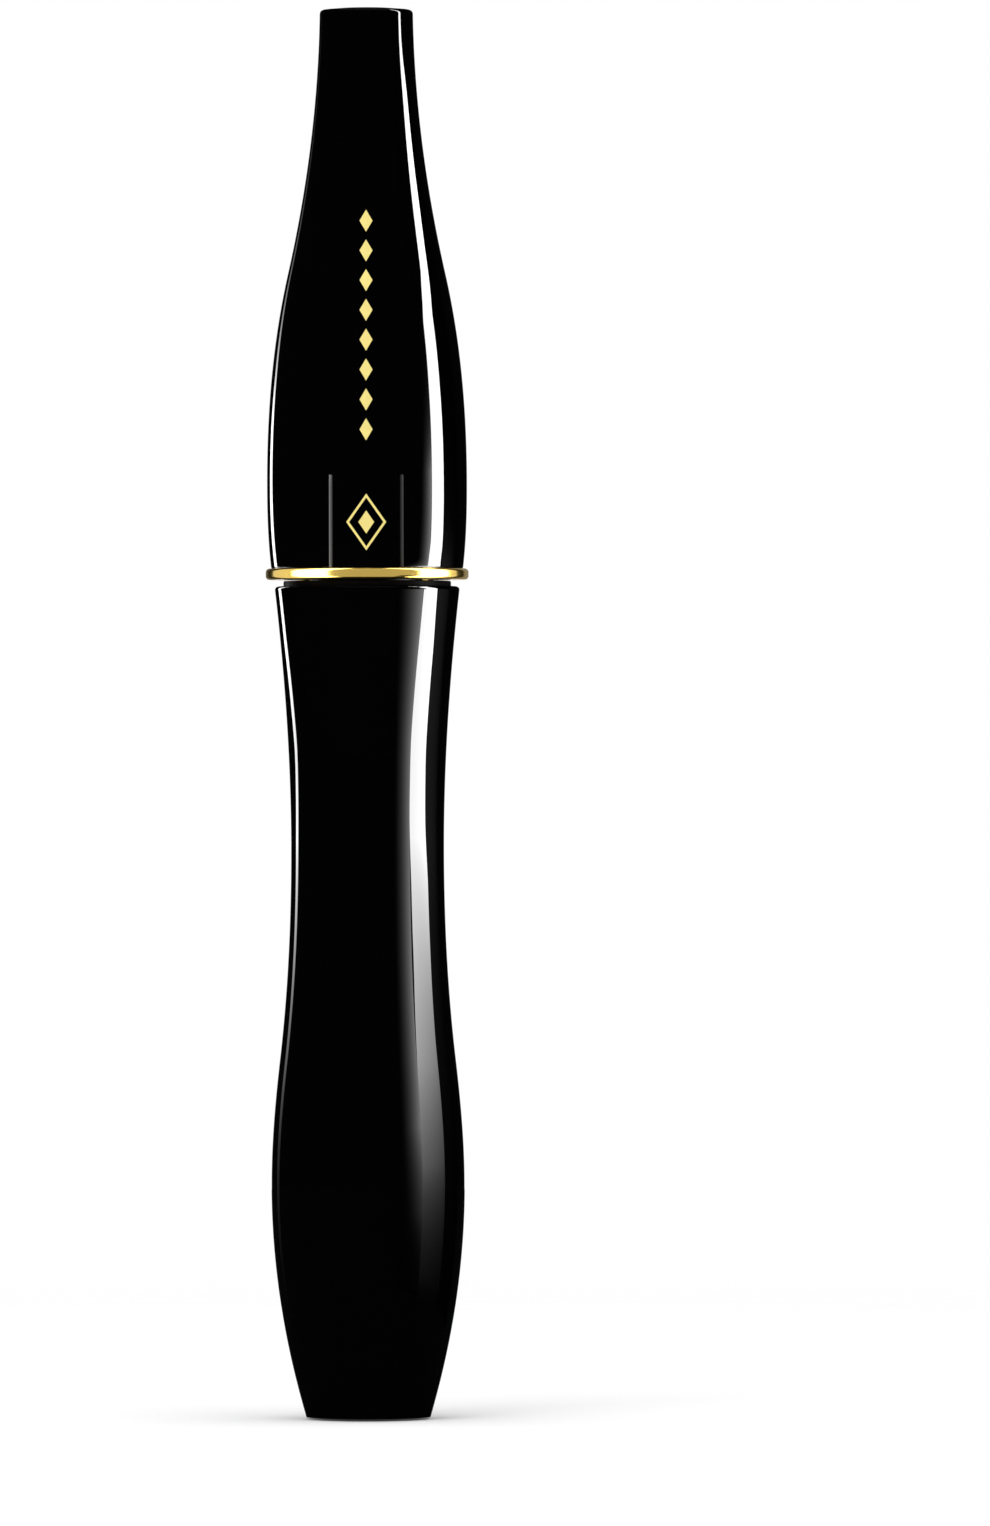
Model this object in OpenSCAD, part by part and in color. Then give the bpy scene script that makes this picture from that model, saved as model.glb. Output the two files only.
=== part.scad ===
// Mascara tube, closed, standing on its foot.
// A waisted bottle holds an inner vial with a wiper in its neck. The barrel-shaped cap
// screws onto that neck and carries a rod with a twisted-wire brush.
// Millimetres, +Z up, origin at the centre of the foot on the table.
// The front, with the cap's shallow panel, faces -Y.

/* [Bottle sleeve] */
// Height of the glossy outer sleeve, from foot to rim
sleeve_h = 79.7; // [77:0.1:84]
// Radius where the outline meets the foot
foot_r = 5.89; // [5.6:0.01:6.4]
// Widening of the outline just above the foot, mm per mm
foot_flare = 0.297; // [0.24:0.001:0.34]
// Round along the foot's edge
foot_round = 0.35; // [0.2:0.05:0.6]
// Radius of the shallow recess under the foot
foot_recess_r = 4.2; // [3:0.1:4.6]
// Depth of the recess under the foot
foot_recess_d = 0.35; // [0.2:0.05:0.5]
// Height of the belly, the bottle's widest place
belly_z = 22.5; // [20:0.1:25]
// Radius at the belly
belly_r = 9.25; // [8.8:0.05:9.6]
// Height of the flank, where the outline turns from convex to concave
flank_z = 34.4; // [32:0.1:37]
// Radius at the flank
flank_r = 8.43; // [8.1:0.01:8.7]
// Slope of the flank, mm per mm
flank_slope = -0.117; // [-0.14:0.001:-0.1]
// Height of the waist, the bottle's narrowest place
waist_z = 54.6; // [51:0.1:58]
// Radius at the waist
waist_r = 7.33; // [7.1:0.01:7.9]
// Radius at the rim
mouth_r = 8.89; // [8.6:0.01:9.3]
// Widening of the outline at the rim, mm per mm
mouth_flare = 0.114; // [0.08:0.001:0.14]
// Round along the rim's outer edge
rim_round = 0.35; // [0.2:0.05:0.5]
// Width of the rim left round the vial's flange
rim_w = 0.87; // [0.7:0.01:1.1]
// Floor of the sleeve under the vial
sleeve_floor = 1.4; // [1.1:0.1:2]

/* [Inner vial] */
// Outer radius of the vial's body
vial_r = 6.1; // [5.8:0.05:6.25]
// Wall of the vial
vial_wall = 0.9; // [0.7:0.05:1.1]
// Round at the vial's bottom corner
vial_corner = 3; // [2.4:0.1:3.6]
// Depth of the flange that is let into the sleeve's rim
flange_seat = 0.6; // [0.4:0.05:0.9]
// Height of the flange that stands above the rim
flange_proud = 0.5; // [0.4:0.05:0.7]
// Radius of the neck, without its thread
neck_r = 5.3; // [5.1:0.05:5.5]
// Height of the neck above the flange
neck_h = 10.8; // [9.6:0.1:12]
// Bore of the neck, as a radius
neck_bore_r = 4.3; // [4.2:0.05:4.4]
// Clearance round the vial in the sleeve
vial_gap = 0.1; // [0.05:0.01:0.15]

/* [Wiper] */
// Wall of the wiper's tube
wiper_wall = 0.55; // [0.4:0.05:0.6]
// Thickness of the rim that lies on the neck
wiper_rim_h = 0.6; // [0.4:0.05:0.9]
// Depth of the wiper's straight tube below its rim
wiper_tube_h = 7; // [6:0.1:8]
// Height of the cone that leads to the lip
wiper_cone_h = 3.6; // [3:0.1:4.4]
// Thickness of the lip
wiper_lip = 0.4; // [0.3:0.05:0.5]
// Clearance between the lip and the rod
lip_gap = 0.2; // [0.1:0.01:0.25]
// Clearance of the wiper's tube in the neck
wiper_fit = 0.05; // [0.02:0.01:0.08]

/* [Seal] */
// Thickness of the washer between neck and inner cap
washer_h = 0.8; // [0.5:0.05:1.2]
// Outer radius of the washer
washer_r = 4.9; // [4.6:0.05:5.2]
// Clearance round the rod in the washer
washer_gap = 0.3; // [0.2:0.01:0.4]

/* [Collar ring] */
// Height of the bright ring's band
ring_h = 1.1; // [0.9:0.05:1.4]
// How far the band stands out past the cap
ring_proud = 0.52; // [0.4:0.01:0.7]
// Round along the band's upper and lower edges
ring_round = 0.38; // [0.3:0.01:0.4]
// Clearance between the ring and the vial's flange
ring_gap = 0.1; // [0.05:0.01:0.2]
// Clearance between the ring's skirt and the inner cap
ring_skirt_gap = 0.15; // [0.1:0.01:0.2]
// Wall of the skirt that plugs into the cap
ring_skirt_w = 0.45; // [0.4:0.01:0.5]
// Height of that skirt
ring_skirt_h = 2.6; // [2:0.1:3.2]
// How far the ring's hole lies inside its skirt
ring_lip = 0.75; // [0.5:0.05:0.9]

/* [Cap shell] */
// Height of the glossy cap above the ring
cap_h = 53.6; // [51:0.1:56]
// Radius at the cap's lower edge
cap_foot_r = 9.2; // [9.1:0.01:9.5]
// Widening of the cap just above the ring, mm per mm
cap_foot_flare = 0.117; // [0.09:0.001:0.14]
// Height of the cap's widest place above the ring
cap_belly_h = 8.1; // [7:0.1:9.5]
// Radius at the cap's widest place
cap_belly_r = 9.585; // [9.5:0.005:9.8]
// Height of the cap's shoulder above the ring
cap_shoulder_h = 28.2; // [27:0.1:30]
// Radius at the shoulder
cap_shoulder_r = 7.55; // [7.3:0.01:7.8]
// Slope of the shoulder, mm per mm
cap_shoulder_slope = -0.227; // [-0.25:0.001:-0.2]
// Radius at the cap's top
cap_top_r = 4.46; // [4.2:0.01:4.8]
// Slope of the outline at the cap's top, mm per mm
cap_top_slope = -0.013; // [-0.04:0.001:0]
// Round along the cap's top edge
cap_top_round = 0.4; // [0.3:0.05:0.6]
// Height of the crown of the cap's end
cap_crown = 0.12; // [0.06:0.01:0.2]
// Radius of the flat in the middle of the end
cap_flat_r = 2.6; // [2:0.1:3]
// Round along the cap's lower edge
cap_foot_round = 0.12; // [0.08:0.01:0.2]
// Wall of the cap shell
cap_wall = 1.1; // [0.9:0.05:1.2]
// Thickness of the cap's closed end
cap_end = 1.6; // [1.2:0.1:2.2]

/* [Front panel] */
// Width of the shallow panel on the cap's front
panel_w = 7; // [6:0.1:8]
// Height of the panel above the ring
panel_h = 8.8; // [7.5:0.1:10]
// Depth of the panel
panel_d = 0.3; // [0.2:0.01:0.4]
// Height over which the panel's floor runs out at its top
panel_fade = 2.4; // [1.5:0.1:3.5]

/* [Inner cap] */
// Room for the thread between neck and inner cap
thread_room = 1; // [0.9:0.05:1.1]
// Wall of the inner cap
liner_wall = 1.1; // [0.9:0.05:1.2]
// Height of the inner cap's mouth above the cap's lower edge
liner_inset = 0.5; // [0.3:0.1:1]
// Thickness of the ceiling over the neck
liner_ceiling = 1.6; // [1.2:0.1:2]
// Wall of the socket that holds the rod
socket_wall = 1.4; // [1.1:0.1:1.7]
// Depth of that socket above the ceiling
socket_h = 7.6; // [6:0.1:9]
// Number of ribs that hold the inner cap in the shell
rib_count = 8; // [6:1:12]
// Width of a rib
rib_w = 1.1; // [0.8:0.1:1.5]
// Clearance of pushed-in pieces
push_fit = 0.03; // [0.02:0.01:0.05]

/* [Cap weight] */
// Height of the turned weight in the cap
weight_h = 13; // [9:0.5:16]
// Clearance round the weight
weight_gap = 0.3; // [0.2:0.05:0.5]
// Chamfer on the weight's edges
weight_chamfer = 0.6; // [0.3:0.1:0.9]

/* [Rod] */
// Radius of the rod
rod_r = 1.9; // [1.8:0.05:2]
// Radius of the rod's lower end
rod_tip_r = 1.2; // [1.1:0.05:1.35]
// Height of the bullet-shaped taper
rod_taper_h = 6; // [4.5:0.1:7.5]
// Round at the rod's lower end
rod_tip_round = 0.3; // [0.2:0.05:0.4]
// Height of the snap bead near the rod's top
snap_h = 0.8; // [0.6:0.1:1.2]
// How far the snap bead stands out
snap_proud = 0.15; // [0.1:0.01:0.2]

/* [Brush] */
// Free depth between the wire's tip and the vial's floor
tip_depth = 5.85; // [5:0.05:8]
// Radius of one wire
wire_r = 0.27; // [0.24:0.01:0.27]
// Distance of each wire from the brush's axis
wire_off = 0.34; // [0.34:0.01:0.37]
// Height of one full twist
twist_pitch = 3.15; // [2.9:0.05:3.5]
// Length of wire held in the rod
wire_hold = 6; // [4.5:0.1:7]
// Bare wire between the hairpin bend and the bristles
tip_bare = 0.25; // [0.15:0.05:0.6]
// Bare wire between the bristles and the rod
root_bare = 1.6; // [1.2:0.1:2.4]
// Length of the bristled part
brush_len = 25.3; // [23:0.1:28]
// Radius of the brush at its ends
brush_r = 3.35; // [3.1:0.01:3.4]
// Radius of the brush at its middle
brush_mid_r = 2.95; // [2.7:0.01:3.1]
// Radius of the first bristles at the tip
brush_tip_r = 2.2; // [1.9:0.05:2.6]
// Length over which the tip widens to the full brush
brush_nose = 3; // [2:0.1:4]
// Rows of bristles along the brush, one on each edge of the twist
strand_rows = 180; // [150:5:200]
// Thickness of the bristle band between the wires
band_t = 0.06; // [0.05:0.005:0.06]
// How far the band stands out past the wires
band_past = 0.06; // [0.04:0.01:0.1]
// Rise of a bristle towards the tip, at the rod end, mm per mm
brush_sweep = 0.22; // [0:0.01:0.35]

/* [Hidden] */

$fn = 96;
eps = 0.01;
over = 1;            // how far a cutting shape runs past the face that it cuts
outline_steps = 30;  // straight steps along a curved outline
arc_steps = 6;       // straight steps along an edge round
stitch = 0.02;       // how far an outline stays clear of the arc that it meets
wire_sides = 6;      // sides of the wire
wire_rings = 14;     // rings of the wire in one full twist
bend_rings = 6;      // rings of the wire round its hairpin bend
bristle_taper = 0.7; // thickness of a bristle's free end, as a share of its root's

gloss_black = [0.03, 0.03, 0.035];
satin_black = [0.09, 0.09, 0.1];
milky = [0.82, 0.82, 0.8];
gold = [0.86, 0.7, 0.38];
steel = [0.62, 0.63, 0.65];

// Heights, from the table up
vial_z = sleeve_floor + vial_gap;
vial_floor_z = vial_z + vial_wall;
flange_z = sleeve_h - flange_seat;
flange_top = sleeve_h + flange_proud;
neck_top = flange_top + neck_h;
wiper_top = neck_top + wiper_rim_h;
ceiling_z = wiper_top + washer_h;
ring_z = flange_top + ring_gap;
cap_z = ring_z + ring_h;
cap_top = cap_z + cap_h;
liner_z = cap_z + liner_inset;
liner_top = ceiling_z + liner_ceiling;
socket_top = liner_top + socket_h;
socket_end = socket_top + socket_wall;
snap_z = socket_top - 2.5 * snap_h;
skirt_top = cap_z + ring_skirt_h;
wire_tip_z = vial_floor_z + tip_depth;
bend_z = wire_tip_z + wire_off + wire_r;
bristle_z = bend_z + tip_bare;
bristle_top = bristle_z + brush_len;
rod_z = bristle_top + root_bare;
wire_top = rod_z + wire_hold;

// Radii that follow from the fits
bore_r = vial_r + vial_gap;
vial_bore_r = vial_r - vial_wall;
flange_r = mouth_r - rim_w;
wiper_r = neck_bore_r - wiper_fit;
wiper_bore_r = wiper_r - wiper_wall;
lip_r = rod_r + lip_gap;
liner_bore_r = neck_r + thread_room;
liner_r = liner_bore_r + liner_wall;
skirt_in_r = liner_r + ring_skirt_gap;
skirt_r = skirt_in_r + ring_skirt_w;
seat_r = skirt_r + push_fit;
ring_r = cap_foot_r + ring_proud;
socket_r = rod_r + push_fit;
boss_r = socket_r + socket_wall;
wire_hole_r = wire_off + wire_r + push_fit;

// Stations of the two outlines: height, radius, slope
bottle_line = [
    [0, foot_r, foot_flare],
    [belly_z, belly_r, 0],
    [flank_z, flank_r, flank_slope],
    [waist_z, waist_r, 0],
    [sleeve_h, mouth_r, mouth_flare],
];
cap_line = [
    [cap_z, cap_foot_r, cap_foot_flare],
    [cap_z + cap_belly_h, cap_belly_r, 0],
    [cap_z + cap_shoulder_h, cap_shoulder_r, cap_shoulder_slope],
    [cap_top, cap_top_r, cap_top_slope],
];

// Radius at height z on the smooth cubic between two stations
function between(a, b, z) =
    let (h = b[0] - a[0], t = (z - a[0]) / h)
    (1 + 2 * t) * (1 - t) * (1 - t) * a[1] + t * (1 - t) * (1 - t) * h * a[2]
    + t * t * (3 - 2 * t) * b[1] - t * t * (1 - t) * h * b[2];

// Radius of an outline at height z
function radius_at(line, z) =
    let (last = len(line) - 2, i = [for (k = [0:last]) if (z <= line[k + 1][0] || k == last) k][0])
    between(line[i], line[i + 1], z);

// Points of an outline from height z0 to z1, moved inwards by inset
function outline(line, z0, z1, inset = 0, steps = outline_steps) =
    [for (i = [0:steps]) let (z = z0 + (z1 - z0) * i / steps) [radius_at(line, z) - inset, z]];

// Points on an arc
function arc(centre, r, a0, a1, steps = arc_steps) =
    [for (i = [0:steps]) let (a = a0 + (a1 - a0) * i / steps) centre + r * [cos(a), sin(a)]];

// Depth of the front panel at height z, running out to nothing at its top
function panel_depth(z) = panel_d * min(1, max(0, (cap_z + panel_h - z) / panel_fade));

// Half outline of a round-bottomed bore or body of radius r, from height z0 to z1
function cup(r, corner, z0, z1) =
    concat([[0, z0]], arc([r - corner, z0 + corner], corner, -90, 0), [[r, z1], [0, z1]]);

module revolve(points) {
    rotate_extrude() polygon(points);
}

// ---- bottle ----

module sleeve_body() {
    revolve(concat(
        [[0, 0]],
        arc([radius_at(bottle_line, foot_round) - foot_round, foot_round], foot_round, -90, 0),
        outline(bottle_line, foot_round + stitch, sleeve_h - rim_round - stitch),
        arc([radius_at(bottle_line, sleeve_h - rim_round) - rim_round, sleeve_h - rim_round],
            rim_round, 0, 90),
        [[0, sleeve_h]]
    ));
}

module bottle_sleeve() {
    color(gloss_black) difference() {
        sleeve_body();
        revolve(cup(bore_r, vial_corner, sleeve_floor, sleeve_h + over));
        translate([0, 0, flange_z]) cylinder(r = flange_r + push_fit, h = flange_seat + over);
        translate([0, 0, -over]) cylinder(r = foot_recess_r, h = over + foot_recess_d);
    }
}

module inner_vial() {
    color(satin_black) difference() {
        union() {
            revolve(cup(vial_r, vial_corner, vial_z, flange_z + flange_seat));
            translate([0, 0, flange_z]) cylinder(r = flange_r, h = flange_top - flange_z);
            translate([0, 0, flange_z]) cylinder(r = neck_r, h = neck_top - flange_z);
        }
        // the reservoir, which draws in to the neck's bore under the flange
        revolve(concat(
            [[0, vial_floor_z]],
            arc([vial_bore_r - vial_corner + vial_wall, vial_z + vial_corner],
                vial_corner - vial_wall, -90, 0),
            [
                [vial_bore_r, flange_z - vial_bore_r + neck_bore_r],
                [neck_bore_r, flange_z],
                [neck_bore_r, neck_top + over],
                [0, neck_top + over],
            ]
        ));
    }
}

module wiper() {
    tube_z = neck_top - wiper_tube_h;
    lip_z = tube_z - wiper_cone_h;
    color(milky) revolve([
        [lip_r, lip_z - wiper_lip],
        [lip_r + wiper_lip, lip_z - wiper_lip],
        [wiper_r, tube_z],
        [wiper_r, neck_top],
        [washer_r, neck_top],
        [washer_r, wiper_top],
        [wiper_bore_r + wiper_lip, wiper_top],
        [wiper_bore_r, wiper_top - wiper_lip],
        [wiper_bore_r, tube_z],
        [lip_r, lip_z],
    ]);
}

// ---- cap ----

module seal_washer() {
    color(satin_black) translate([0, 0, wiper_top]) difference() {
        cylinder(r = washer_r, h = washer_h);
        translate([0, 0, -over]) cylinder(r = rod_r + washer_gap, h = washer_h + 2 * over);
    }
}

module collar_ring() {
    edge_r = ring_r - ring_round;
    hole_r = skirt_in_r - ring_lip;
    color(gold) revolve(concat(
        [[hole_r, ring_z]],
        arc([edge_r, ring_z + ring_round], ring_round, -90, 0),
        arc([edge_r, cap_z - ring_round], ring_round, 0, 90),
        [
            [skirt_r, cap_z],
            [skirt_r, skirt_top],
            [skirt_in_r, skirt_top],
            [skirt_in_r, cap_z],
            [hole_r, cap_z],
        ]
    ));
}

module cap_body() {
    low_z = cap_z + cap_foot_round;
    edge_z = cap_top - cap_crown - cap_top_round;
    revolve(concat(
        [[0, cap_z]],
        arc([radius_at(cap_line, low_z) - cap_foot_round, low_z], cap_foot_round, -90, 0, 3),
        outline(cap_line, low_z + stitch, edge_z - stitch),
        arc([radius_at(cap_line, edge_z) - cap_top_round, edge_z], cap_top_round, 0, 90),
        [[cap_flat_r, cap_top], [0, cap_top]]
    ));
}

// Room inside the cap shell, drawn in by inset
module cap_room(inset = 0) {
    revolve(concat(
        [[0, skirt_top]],
        outline(cap_line, skirt_top, cap_top - cap_end, cap_wall + inset),
        [[0, cap_top - cap_end]]
    ));
}

module panel_cut() {
    z0 = cap_z - over;
    difference() {
        translate([-panel_w / 2, -2 * cap_belly_r, z0]) cube([panel_w, 2 * cap_belly_r, panel_h + over]);
        revolve(concat(
            [[0, z0], [radius_at(cap_line, cap_z) - panel_d, z0]],
            [for (i = [0:outline_steps]) let (z = cap_z + panel_h * i / outline_steps)
                [radius_at(cap_line, z) - panel_depth(z), z]],
            [[radius_at(cap_line, cap_z + panel_h), cap_z + panel_h + over], [0, cap_z + panel_h + over]]
        ));
    }
}

module cap_shell() {
    color(gloss_black) difference() {
        cap_body();
        cap_room();
        translate([0, 0, cap_z - over]) cylinder(r = seat_r, h = ring_skirt_h + over + eps);
        panel_cut();
    }
}

module inner_cap() {
    color(satin_black) difference() {
        union() {
            translate([0, 0, liner_z]) cylinder(r = liner_r, h = liner_top - liner_z);
            translate([0, 0, liner_top]) cylinder(r = boss_r, h = socket_end - liner_top);
            intersection() {
                cap_room(push_fit);
                for (i = [0:rib_count - 1]) {
                    rotate([0, 0, 360 * i / rib_count])
                        translate([liner_r - liner_wall / 2, -rib_w / 2, skirt_top + liner_inset])
                            cube([cap_belly_r, rib_w, liner_top - skirt_top - liner_inset]);
                }
            }
        }
        translate([0, 0, liner_z - over]) cylinder(r = liner_bore_r, h = ceiling_z - liner_z + over);
        translate([0, 0, ceiling_z - over]) cylinder(r = socket_r, h = socket_top - ceiling_z + over);
        translate([0, 0, snap_z - snap_h / 2]) cylinder(r = socket_r + snap_proud, h = 2 * snap_h);
    }
}

module cap_weight() {
    top = socket_end + weight_h;
    low_r = radius_at(cap_line, socket_end + weight_chamfer) - cap_wall - weight_gap;
    color(steel) revolve(concat(
        [[0, socket_end], [low_r - weight_chamfer, socket_end]],
        outline(cap_line, socket_end + weight_chamfer, top - weight_chamfer, cap_wall + weight_gap, 8),
        [
            [radius_at(cap_line, top - weight_chamfer) - cap_wall - weight_gap - weight_chamfer, top],
            [0, top],
        ]
    ));
}

// ---- applicator ----

module wand_rod() {
    // the end's round, then a bullet-shaped taper up to the full rod
    taper = [for (i = [1:8]) let (u = i / 8)
        [rod_tip_r + (rod_r - rod_tip_r) * sin(90 * u),
         rod_z + rod_tip_round + (rod_taper_h - rod_tip_round) * u]];
    color(gloss_black) difference() {
        revolve(concat(
            [[0, rod_z]],
            arc([rod_tip_r - rod_tip_round, rod_z + rod_tip_round], rod_tip_round, -90, 0),
            taper,
            [
                [rod_r, snap_z],
                [rod_r + snap_proud, snap_z + snap_proud],
                [rod_r + snap_proud, snap_z + snap_h - snap_proud],
                [rod_r, snap_z + snap_h],
                [rod_r, socket_top - 2 * snap_proud],
                [rod_r - snap_proud, socket_top - eps],
                [0, socket_top - eps],
            ]
        ));
        // the hole is deep enough for the slanted cut at the end of the wire
        translate([0, 0, rod_z - over]) cylinder(r = wire_hole_r, h = over + wire_hold + wire_r);
    }
}

// Angle of the twist at height z, and the two directions that turn with it
function twist(z) = 360 * (z - rod_z) / twist_pitch;
function along_wires(a) = [cos(a), sin(a), 0];
function along_bristles(a) = [-sin(a), cos(a), 0];

// One wire, bent double at the tip and twisted: rings of points along its centre line
module twisted_wire() {
    lean = wire_off * 2 * PI / twist_pitch;
    rings = ceil((wire_top - bend_z) / twist_pitch * wire_rings);
    up = [0, 0, 1];
    bend_dir = along_wires(twist(bend_z));
    bend_side = along_bristles(twist(bend_z));
    // each ring is [centre, outward direction, direction of travel]
    path = concat(
        [for (i = [0:rings]) let (z = wire_top + (bend_z - wire_top) * i / rings, a = twist(z))
            [wire_off * along_wires(a) + z * up, along_wires(a), -up - lean * along_bristles(a)]],
        [for (i = [1:bend_rings - 1]) let (b = 180 * i / bend_rings, out = cos(b) * bend_dir - sin(b) * up)
            [bend_z * up + wire_off * out, out,
             -sin(b) * bend_dir - cos(b) * up - lean * abs(cos(b)) * bend_side]],
        [for (i = [0:rings]) let (z = bend_z + (wire_top - bend_z) * i / rings, a = twist(z))
            [-wire_off * along_wires(a) + z * up, -along_wires(a), up - lean * along_bristles(a)]]
    );
    last = len(path) - 1;
    points = [for (ring = path) let (side = cross(ring[2], ring[1]) / norm(ring[2]))
        for (j = [0:wire_sides - 1]) let (a = 360 * (j + 0.5) / wire_sides)
            ring[0] + wire_r * (cos(a) * ring[1] + sin(a) * side)];
    faces = concat(
        [for (i = [1:wire_sides - 2]) [0, i, i + 1]],
        [for (i = [0:last - 1], j = [0:wire_sides - 1])
            let (k = (j + 1) % wire_sides, p = i * wire_sides, q = p + wire_sides)
            each [[q + j, q + k, p + k], [q + j, p + k, p + j]]],
        [for (i = [1:wire_sides - 2], p = last * wire_sides) [p, p + i + 1, p + i]]
    );
    color(satin_black) polyhedron(points, faces);
}

// Radius of the brush at height z: full at both ends, slimmer between, drawn in at the tip
function brush_radius(z) =
    let (u = (z - bristle_z) / brush_len, nose = min(1, (z - bristle_z) / brush_nose))
    (brush_mid_r + (brush_r - brush_mid_r) * pow(abs(2 * u - 1), 2))
    * (brush_tip_r / brush_r + (1 - brush_tip_r / brush_r) * sin(90 * nose));

// The bristles stand on the two edges of a thin band that twists between the wires
module bristles() {
    steps = 2 * strand_rows;
    step = brush_len / steps;
    band_w = wire_off + wire_r + band_past;
    end_t = bristle_taper * band_t;
    end_h = bristle_taper * step;
    corners = [[-1, -1], [1, -1], [1, 1], [-1, 1]];
    stray = rands(-1, 1, 4 * strand_rows, 11);
    band = [for (k = [0:steps]) let (z = bristle_z + k * step, a = twist(z)) for (c = corners)
        c[0] * band_t / 2 * along_wires(a) + c[1] * band_w * along_bristles(a) + [0, 0, z]];
    // corner c of the free end of the bristle in row n, on the band's edge side = -1 or 1
    function free_end(n, side, c) =
        let (
            z = bristle_z + (2 * n + 0.5) * step,
            s = 4 * n + side + 1,
            a = twist(z) + 4 * stray[s],
            r = brush_radius(z),
            rise = r * (brush_sweep * pow(n / strand_rows, 2) * -1 + 0.05 * stray[s + 1])
        )
        c[0] * end_t / 2 * along_wires(a) + side * r * along_bristles(a)
        + [0, 0, z + rise + c[1] * end_h / 2];
    tips = [for (n = [0:strand_rows - 1], side = [-1, 1])
        for (c = side < 0 ? [[-1, 1], [1, 1], [1, -1], [-1, -1]] : [[1, 1], [-1, 1], [-1, -1], [1, -1]])
            free_end(n, side, c)];
    // the four sides of one step of the band, each as a loop seen from outside
    function wall(k, j) = let (p = 4 * k, m = (j + 1) % 4) [p + 4 + j, p + 4 + m, p + m, p + j];
    function halves(q) = [[q[0], q[1], q[2]], [q[0], q[2], q[3]]];
    first_tip = 4 * (steps + 1);
    faces = concat(
        [[0, 1, 2], [0, 2, 3]],
        [for (k = [0:steps - 1], j = [0:3]) if (j % 2 == 1 || k % 2 == 1) each halves(wall(k, j))],
        [for (n = [0:strand_rows - 1], e = [0, 1])
            let (root = wall(2 * n, 2 * e), t = first_tip + 8 * n + 4 * e, tip = [t, t + 1, t + 2, t + 3])
            each concat(
                [for (i = [0:3]) let (m = (i + 1) % 4) each halves([root[i], root[m], tip[m], tip[i]])],
                halves(tip)
            )],
        [for (q = 4 * steps) each [[q, q + 2, q + 1], [q, q + 3, q + 2]]]
    );
    color(gloss_black) polyhedron(concat(band, tips), faces);
}

bottle_sleeve();
inner_vial();
wiper();
seal_washer();
collar_ring();
cap_shell();
inner_cap();
cap_weight();
wand_rod();
twisted_wire();
bristles();
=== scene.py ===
"""Mascara tube: smooth turned shells, gold collar, screw threads and a full twisted-wire brush
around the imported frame, on a pale floor in a plain studio. Metres, +Z up, front towards -Y."""

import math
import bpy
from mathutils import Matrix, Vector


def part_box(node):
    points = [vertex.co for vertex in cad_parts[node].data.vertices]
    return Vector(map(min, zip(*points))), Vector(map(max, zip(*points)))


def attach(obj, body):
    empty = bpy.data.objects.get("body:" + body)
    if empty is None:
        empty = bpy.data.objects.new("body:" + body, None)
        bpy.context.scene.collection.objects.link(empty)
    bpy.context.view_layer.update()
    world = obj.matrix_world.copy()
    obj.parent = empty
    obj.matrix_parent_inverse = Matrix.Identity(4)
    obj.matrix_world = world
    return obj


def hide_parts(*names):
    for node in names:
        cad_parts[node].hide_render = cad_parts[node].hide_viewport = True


bl_info = {
    "name": "Mascara Tube",
    "version": (1, 0, 0),
    "blender": (4, 5, 0),
    "location": "View3D > Sidebar > Mascara",
    "description": "Models and finishes the pieces of a mascara tube around its frame",
    "category": "Object",
}

import bpy
import numpy as np
from mathutils import Vector

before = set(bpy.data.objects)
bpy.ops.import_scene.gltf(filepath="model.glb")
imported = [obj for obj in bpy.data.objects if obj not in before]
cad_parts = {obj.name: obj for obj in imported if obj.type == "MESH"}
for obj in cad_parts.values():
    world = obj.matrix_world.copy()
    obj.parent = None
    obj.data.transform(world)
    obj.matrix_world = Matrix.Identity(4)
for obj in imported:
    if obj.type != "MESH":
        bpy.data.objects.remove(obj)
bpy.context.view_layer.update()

MM = 0.001
TAU = 2 * math.pi
WELD = 1e-7               # doubled points closer than this are merged
SHARP = math.radians(35)  # edges sharper than this stay crisp

# The turned pieces' fits, as in the part's source
VIAL_GAP = 0.1 * MM       # round the vial in the sleeve
FLANGE_GAP = 0.03 * MM    # round the vial's flange in its seat
WIRE_GAP = 0.03 * MM      # round the wire in the rod's hole
THREAD_ROOM = 1 * MM      # between the neck and the inner cap's bore
THREAD_DEPTH = 0.7 * MM
THREAD_LEAD = 3 * MM
THREAD_TURNS = 1.5
THREAD_WIDTH = 1.5 * MM   # of a ridge at its root


# ---- heights and radii from the frame ----

def low(node):
    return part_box(node)[0].z


def high(node):
    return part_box(node)[1].z


RIM_Z = high("bottle_sleeve")
RING_Z = low("collar_ring")
CAP_Z = low("cap_shell")
CAP_TOP = high("cap_shell")
SKIRT_TOP = high("collar_ring")
VIAL_Z = low("inner_vial")
NECK_TOP = high("inner_vial")
LINER_Z = low("inner_cap")
ROD_Z = low("wand_rod")
ROD_TOP = high("wand_rod")
BRISTLE_Z = low("bristles")
BRISTLE_TOP = high("bristles")
WIRE_TOP = high("twisted_wire")
RING_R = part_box("collar_ring")[1].x
FLANGE_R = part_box("inner_vial")[1].x


# ---- sizes and colours a user would change ----

def size(name, text, millimetres):
    """A length property, given in millimetres and kept in metres."""
    return bpy.props.FloatProperty(
        name=name, description=text, default=millimetres * MM, unit="LENGTH", precision=6
    )


def number(name, text, value):
    return bpy.props.FloatProperty(name=name, description=text, default=value, precision=4)


def count(name, text, value):
    return bpy.props.IntProperty(name=name, description=text, default=value, min=1)


def colour(name, text, value):
    return bpy.props.FloatVectorProperty(
        name=name, description=text, default=value, size=3, subtype="COLOR", min=0, max=1
    )


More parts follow.
